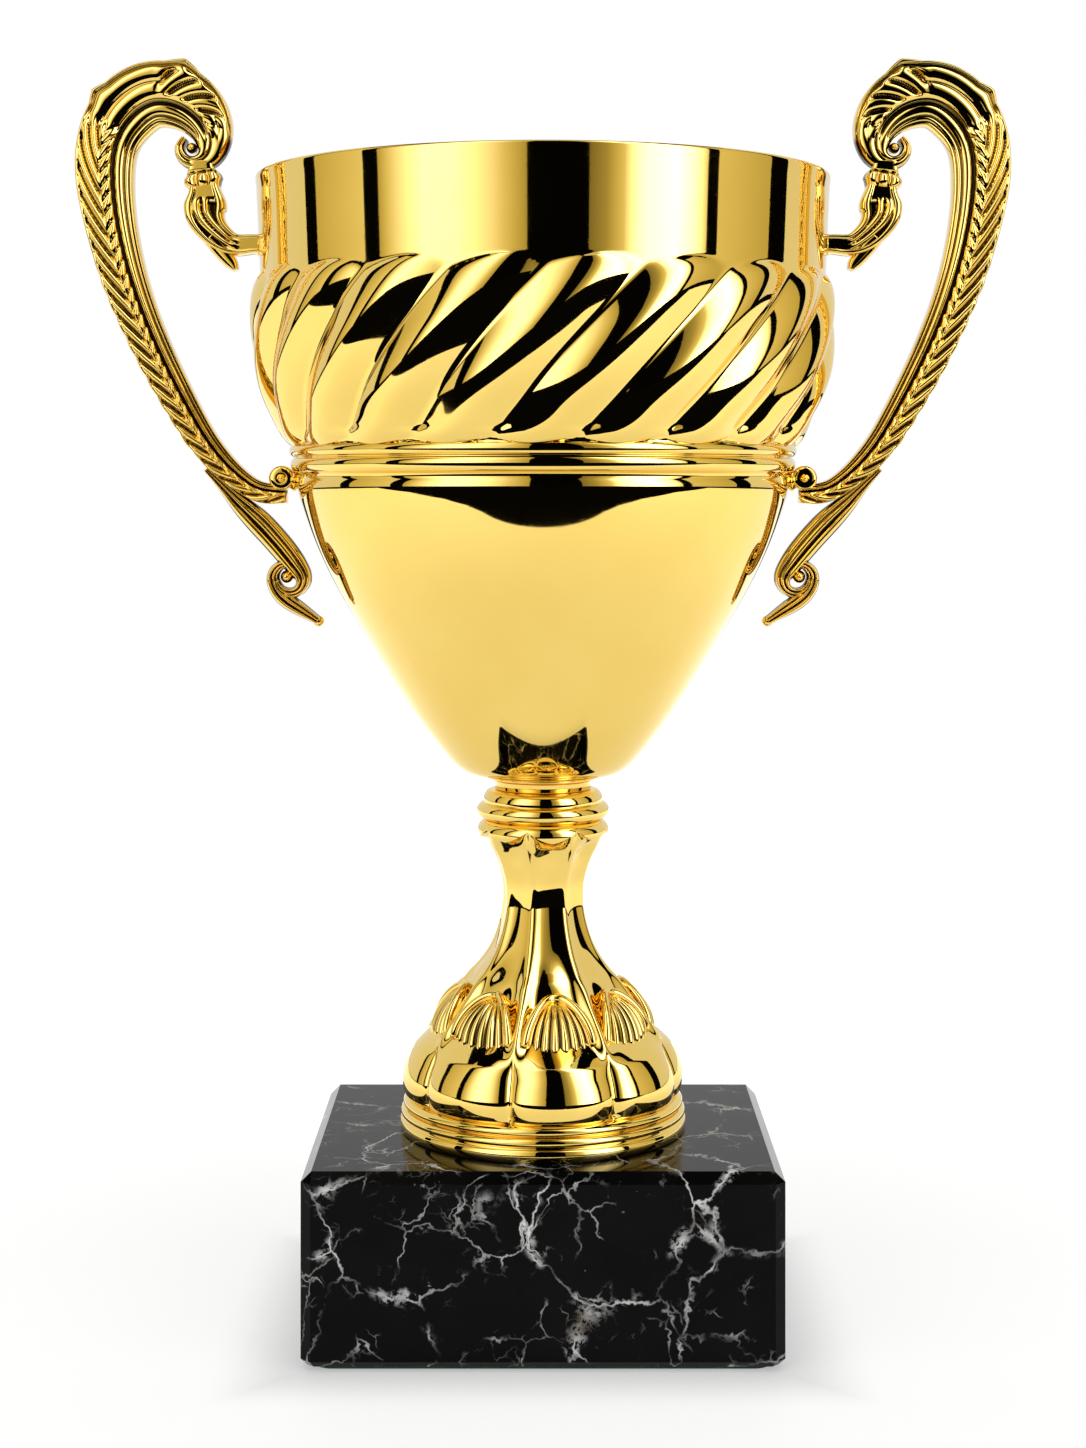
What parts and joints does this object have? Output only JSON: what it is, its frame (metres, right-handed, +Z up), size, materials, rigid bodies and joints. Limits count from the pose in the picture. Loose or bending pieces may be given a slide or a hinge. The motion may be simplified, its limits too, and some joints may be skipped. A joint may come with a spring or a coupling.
{
  "type": "cup trophy",
  "caption": "Two-handled presentation cup: thin bowl with a spiral-gadrooned band, lobed pedestal with a fluted stem, scroll handles, on a polished stone block.",
  "frame": {"origin": "on the surface the trophy stands on, under the middle of the stone block", "axes": "+Z up; +X towards the right handle; -Y towards the front of the block"},
  "size_m": [0.2258, 0.142, 0.3038],
  "materials": {
    "gold": "gold-plated and polished to a mirror",
    "marble": "polished black marble with a net of broken white veins",
    "zinc": "bright zinc-plated steel",
    "felt": "black wool felt, glued"
  },
  "bodies": {
    "root": {"acorn_nut": "zinc", "base_nut": "zinc", "base_washer": "zinc", "bowl": "gold", "bowl_washer": "zinc", "collar": "gold", "felt_pad": "felt", "foot_ring": "gold", "handle_left": "gold", "handle_right": "gold", "handle_saddle_lower_left": "zinc", "handle_saddle_lower_right": "zinc", "handle_saddle_upper_left": "zinc", "handle_saddle_upper_right": "zinc", "handle_screw_lower_left": "zinc", "handle_screw_lower_right": "zinc", "handle_screw_upper_left": "zinc", "handle_screw_upper_right": "zinc", "marble_base": "marble", "neck_ring": "gold", "pedestal": "gold", "tie_rod": "zinc"}
  },
  "joints": []
}
